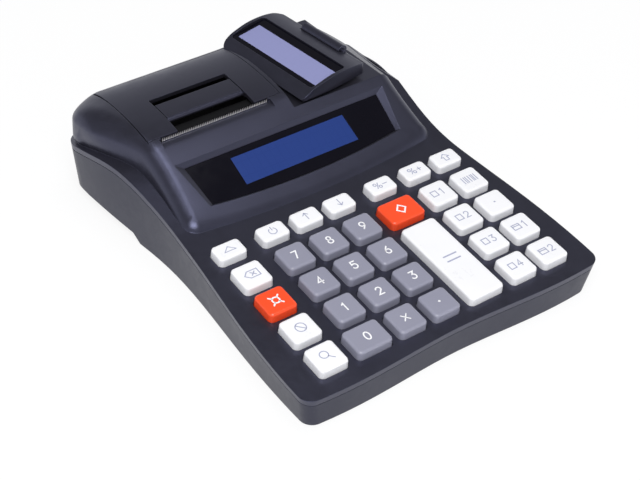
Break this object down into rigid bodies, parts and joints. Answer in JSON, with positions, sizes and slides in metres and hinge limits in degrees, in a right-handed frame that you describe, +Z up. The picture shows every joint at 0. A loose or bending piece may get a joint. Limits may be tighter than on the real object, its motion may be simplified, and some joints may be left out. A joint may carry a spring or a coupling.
{
  "type": "ticket register",
  "caption": "Portable ticket register: a sloping keyboard, a blue display panel, a thermal printer under a hinged lid, and a tilting customer display.",
  "frame": {"origin": "on the table, under the middle of the case's width and depth", "axes": "+Z up, +X to the operator's right, -Y towards the operator; the keyboard is at -Y and the printer at +Y"},
  "size_m": [0.168, 0.2145, 0.0569],
  "materials": {
    "black_plastic": "fine-textured satin black moulding",
    "slate_plastic": "satin slate-grey moulding",
    "window_black": "glossy black panel",
    "lcd_blue": "blue liquid-crystal panel",
    "lcd_lavender": "pale lavender liquid-crystal panel",
    "key_white": "satin white key plastic",
    "key_grey": "satin grey key plastic",
    "key_red": "satin orange-red key plastic",
    "rubber": "moulded black rubber",
    "steel": "bare steel",
    "brass": "machined brass",
    "gear_plastic": "natural acetal",
    "chassis_plastic": "plain black moulding",
    "ceramic_head": "glazed thermal print head",
    "circuit_board": "green solder mask",
    "battery_wrap": "shrink-wrapped cells"
  },
  "bodies": {
    "case": {"base_shell": "slate_plastic", "top_housing": "black_plastic", "display_window": "window_black", "lcd_module": "lcd_blue", "key_board": "circuit_board", "keypad_mat": "rubber", "lid_hinge_pin": "steel", "stepper_motor": "steel", "printer_chassis": "chassis_plastic", "print_head": "ceramic_head", "tear_bar": "steel", "main_board": "circuit_board", "battery_pack": "battery_wrap", "battery_cover": "slate_plastic", "rubber_feet": "rubber", "case_screws": "steel", "rear_sockets": "chassis_plastic", "display_swivel_hinge": "black_plastic"},
    "lid": {"printer_lid": "black_plastic"},
    "lever": {"lid_lever": "black_plastic"},
    "platen": {"platen_roller": "rubber", "platen_gear": "gear_plastic"},
    "drive": {"drive_gear": "gear_plastic"},
    "pinion": {"motor_pinion": "brass"},
    "customer_display": {"customer_display_case": "black_plastic", "customer_display_window": "window_black", "customer_lcd": "lcd_lavender"},
    "key_feed": {"key_feed": "key_white"},
    "key_power": {"key_power": "key_white"},
    "key_up": {"key_up": "key_white"},
    "key_down": {"key_down": "key_white"},
    "key_percent_minus": {"key_percent_minus": "key_white"},
    "key_percent_plus": {"key_percent_plus": "key_white"},
    "key_shift": {"key_shift": "key_white"},
    "key_clear": {"key_clear": "key_white"},
    "key_7": {"key_7": "key_grey"},
    "key_8": {"key_8": "key_grey"},
    "key_9": {"key_9": "key_grey"},
    "key_subtotal": {"key_subtotal": "key_red"},
    "key_department_1": {"key_department_1": "key_white"},
    "key_barcode": {"key_barcode": "key_white"},
    "key_price": {"key_price": "key_red"},
    "key_4": {"key_4": "key_grey"},
    "key_5": {"key_5": "key_grey"},
    "key_6": {"key_6": "key_grey"},
    "key_department_2": {"key_department_2": "key_white"},
    "key_dot": {"key_dot": "key_white"},
    "key_void": {"key_void": "key_white"},
    "key_1": {"key_1": "key_grey"},
    "key_2": {"key_2": "key_grey"},
    "key_3": {"key_3": "key_grey"},
    "key_total": {"key_total": "key_white"},
    "key_department_3": {"key_department_3": "key_white"},
    "key_payment_1": {"key_payment_1": "key_white"},
    "key_lookup": {"key_lookup": "key_white"},
    "key_0": {"key_0": "key_grey"},
    "key_multiply": {"key_multiply": "key_grey"},
    "key_point": {"key_point": "key_grey"},
    "key_department_4": {"key_department_4": "key_white"},
    "key_payment_2": {"key_payment_2": "key_white"}
  },
  "joints": [
    {"name": "lid_hinge", "type": "hinge", "parent": "case", "child": "lid", "pos_m": [0, 0.096, 0.0464], "axis": [-1, 0, 0], "range_deg": [0, 80]},
    {"name": "lever_hinge", "type": "hinge", "parent": "lid", "child": "lever", "pos_m": [0, 0.0594, 0.0509], "axis": [1, 0, 0], "range_deg": [0, 35]},
    {"name": "platen_spin", "type": "hinge", "parent": "lid", "child": "platen", "pos_m": [0.002, 0.0555, 0.0428], "axis": [1, 0, 0], "continuous": true},
    {"name": "drive_spin", "type": "hinge", "parent": "case", "child": "drive", "pos_m": [0.002, 0.0565, 0.02964], "axis": [1, 0, 0], "continuous": true},
    {"name": "pinion_spin", "type": "hinge", "parent": "case", "child": "pinion", "pos_m": [0.002, 0.057, 0.01885], "axis": [1, 0, 0], "continuous": true},
    {"name": "customer_display_tilt", "type": "hinge", "parent": "case", "child": "customer_display", "pos_m": [0.05308, 0.07339, 0.054], "axis": [-0.1219, 0.9925, 0], "range_deg": [0, 95]},
    {"name": "key_feed_press", "type": "slide", "parent": "case", "child": "key_feed", "axis": [0, 0.0785, -0.9969], "range_m": [0, 0.0028], "stiffness_N_per_m": 180, "springref_m": -0.0006},
    {"name": "key_power_press", "type": "slide", "parent": "case", "child": "key_power", "axis": [0, 0.0785, -0.9969], "range_m": [0, 0.0028], "stiffness_N_per_m": 180, "springref_m": -0.0006},
    {"name": "key_up_press", "type": "slide", "parent": "case", "child": "key_up", "axis": [0, 0.0785, -0.9969], "range_m": [0, 0.0028], "stiffness_N_per_m": 180, "springref_m": -0.0006},
    {"name": "key_down_press", "type": "slide", "parent": "case", "child": "key_down", "axis": [0, 0.0785, -0.9969], "range_m": [0, 0.0028], "stiffness_N_per_m": 180, "springref_m": -0.0006},
    {"name": "key_percent_minus_press", "type": "slide", "parent": "case", "child": "key_percent_minus", "axis": [0, 0.0785, -0.9969], "range_m": [0, 0.0028], "stiffness_N_per_m": 180, "springref_m": -0.0006},
    {"name": "key_percent_plus_press", "type": "slide", "parent": "case", "child": "key_percent_plus", "axis": [0, 0.0785, -0.9969], "range_m": [0, 0.0028], "stiffness_N_per_m": 180, "springref_m": -0.0006},
    {"name": "key_shift_press", "type": "slide", "parent": "case", "child": "key_shift", "axis": [0, 0.0785, -0.9969], "range_m": [0, 0.0028], "stiffness_N_per_m": 180, "springref_m": -0.0006},
    {"name": "key_clear_press", "type": "slide", "parent": "case", "child": "key_clear", "axis": [0, 0.0785, -0.9969], "range_m": [0, 0.0028], "stiffness_N_per_m": 180, "springref_m": -0.0006},
    {"name": "key_7_press", "type": "slide", "parent": "case", "child": "key_7", "axis": [0, 0.0785, -0.9969], "range_m": [0, 0.0028], "stiffness_N_per_m": 180, "springref_m": -0.0006},
    {"name": "key_8_press", "type": "slide", "parent": "case", "child": "key_8", "axis": [0, 0.0785, -0.9969], "range_m": [0, 0.0028], "stiffness_N_per_m": 180, "springref_m": -0.0006},
    {"name": "key_9_press", "type": "slide", "parent": "case", "child": "key_9", "axis": [0, 0.0785, -0.9969], "range_m": [0, 0.0028], "stiffness_N_per_m": 180, "springref_m": -0.0006},
    {"name": "key_subtotal_press", "type": "slide", "parent": "case", "child": "key_subtotal", "axis": [0, 0.0785, -0.9969], "range_m": [0, 0.0028], "stiffness_N_per_m": 180, "springref_m": -0.0006},
    {"name": "key_department_1_press", "type": "slide", "parent": "case", "child": "key_department_1", "axis": [0, 0.0785, -0.9969], "range_m": [0, 0.0028], "stiffness_N_per_m": 180, "springref_m": -0.0006},
    {"name": "key_barcode_press", "type": "slide", "parent": "case", "child": "key_barcode", "axis": [0, 0.0785, -0.9969], "range_m": [0, 0.0028], "stiffness_N_per_m": 180, "springref_m": -0.0006},
    {"name": "key_price_press", "type": "slide", "parent": "case", "child": "key_price", "axis": [0, 0.0785, -0.9969], "range_m": [0, 0.0028], "stiffness_N_per_m": 180, "springref_m": -0.0006},
    {"name": "key_4_press", "type": "slide", "parent": "case", "child": "key_4", "axis": [0, 0.0785, -0.9969], "range_m": [0, 0.0028], "stiffness_N_per_m": 180, "springref_m": -0.0006},
    {"name": "key_5_press", "type": "slide", "parent": "case", "child": "key_5", "axis": [0, 0.0785, -0.9969], "range_m": [0, 0.0028], "stiffness_N_per_m": 180, "springref_m": -0.0006},
    {"name": "key_6_press", "type": "slide", "parent": "case", "child": "key_6", "axis": [0, 0.0785, -0.9969], "range_m": [0, 0.0028], "stiffness_N_per_m": 180, "springref_m": -0.0006},
    {"name": "key_department_2_press", "type": "slide", "parent": "case", "child": "key_department_2", "axis": [0, 0.0785, -0.9969], "range_m": [0, 0.0028], "stiffness_N_per_m": 180, "springref_m": -0.0006},
    {"name": "key_dot_press", "type": "slide", "parent": "case", "child": "key_dot", "axis": [0, 0.0785, -0.9969], "range_m": [0, 0.0028], "stiffness_N_per_m": 180, "springref_m": -0.0006},
    {"name": "key_void_press", "type": "slide", "parent": "case", "child": "key_void", "axis": [0, 0.0785, -0.9969], "range_m": [0, 0.0028], "stiffness_N_per_m": 180, "springref_m": -0.0006},
    {"name": "key_1_press", "type": "slide", "parent": "case", "child": "key_1", "axis": [0, 0.0785, -0.9969], "range_m": [0, 0.0028], "stiffness_N_per_m": 180, "springref_m": -0.0006},
    {"name": "key_2_press", "type": "slide", "parent": "case", "child": "key_2", "axis": [0, 0.0785, -0.9969], "range_m": [0, 0.0028], "stiffness_N_per_m": 180, "springref_m": -0.0006},
    {"name": "key_3_press", "type": "slide", "parent": "case", "child": "key_3", "axis": [0, 0.0785, -0.9969], "range_m": [0, 0.0028], "stiffness_N_per_m": 180, "springref_m": -0.0006},
    {"name": "key_total_press", "type": "slide", "parent": "case", "child": "key_total", "axis": [0, 0.0785, -0.9969], "range_m": [0, 0.0028], "stiffness_N_per_m": 250, "springref_m": -0.0006},
    {"name": "key_department_3_press", "type": "slide", "parent": "case", "child": "key_department_3", "axis": [0, 0.0785, -0.9969], "range_m": [0, 0.0028], "stiffness_N_per_m": 180, "springref_m": -0.0006},
    {"name": "key_payment_1_press", "type": "slide", "parent": "case", "child": "key_payment_1", "axis": [0, 0.0785, -0.9969], "range_m": [0, 0.0028], "stiffness_N_per_m": 180, "springref_m": -0.0006},
    {"name": "key_lookup_press", "type": "slide", "parent": "case", "child": "key_lookup", "axis": [0, 0.0785, -0.9969], "range_m": [0, 0.0028], "stiffness_N_per_m": 180, "springref_m": -0.0006},
    {"name": "key_0_press", "type": "slide", "parent": "case", "child": "key_0", "axis": [0, 0.0785, -0.9969], "range_m": [0, 0.0028], "stiffness_N_per_m": 180, "springref_m": -0.0006},
    {"name": "key_multiply_press", "type": "slide", "parent": "case", "child": "key_multiply", "axis": [0, 0.0785, -0.9969], "range_m": [0, 0.0028], "stiffness_N_per_m": 180, "springref_m": -0.0006},
    {"name": "key_point_press", "type": "slide", "parent": "case", "child": "key_point", "axis": [0, 0.0785, -0.9969], "range_m": [0, 0.0028], "stiffness_N_per_m": 180, "springref_m": -0.0006},
    {"name": "key_department_4_press", "type": "slide", "parent": "case", "child": "key_department_4", "axis": [0, 0.0785, -0.9969], "range_m": [0, 0.0028], "stiffness_N_per_m": 180, "springref_m": -0.0006},
    {"name": "key_payment_2_press", "type": "slide", "parent": "case", "child": "key_payment_2", "axis": [0, 0.0785, -0.9969], "range_m": [0, 0.0028], "stiffness_N_per_m": 180, "springref_m": -0.0006}
  ],
  "couplings": [
    {"joint": "drive_spin", "follows": "platen_spin", "ratio": -0.83333},
    {"joint": "pinion_spin", "follows": "platen_spin", "ratio": 1.6667}
  ]
}
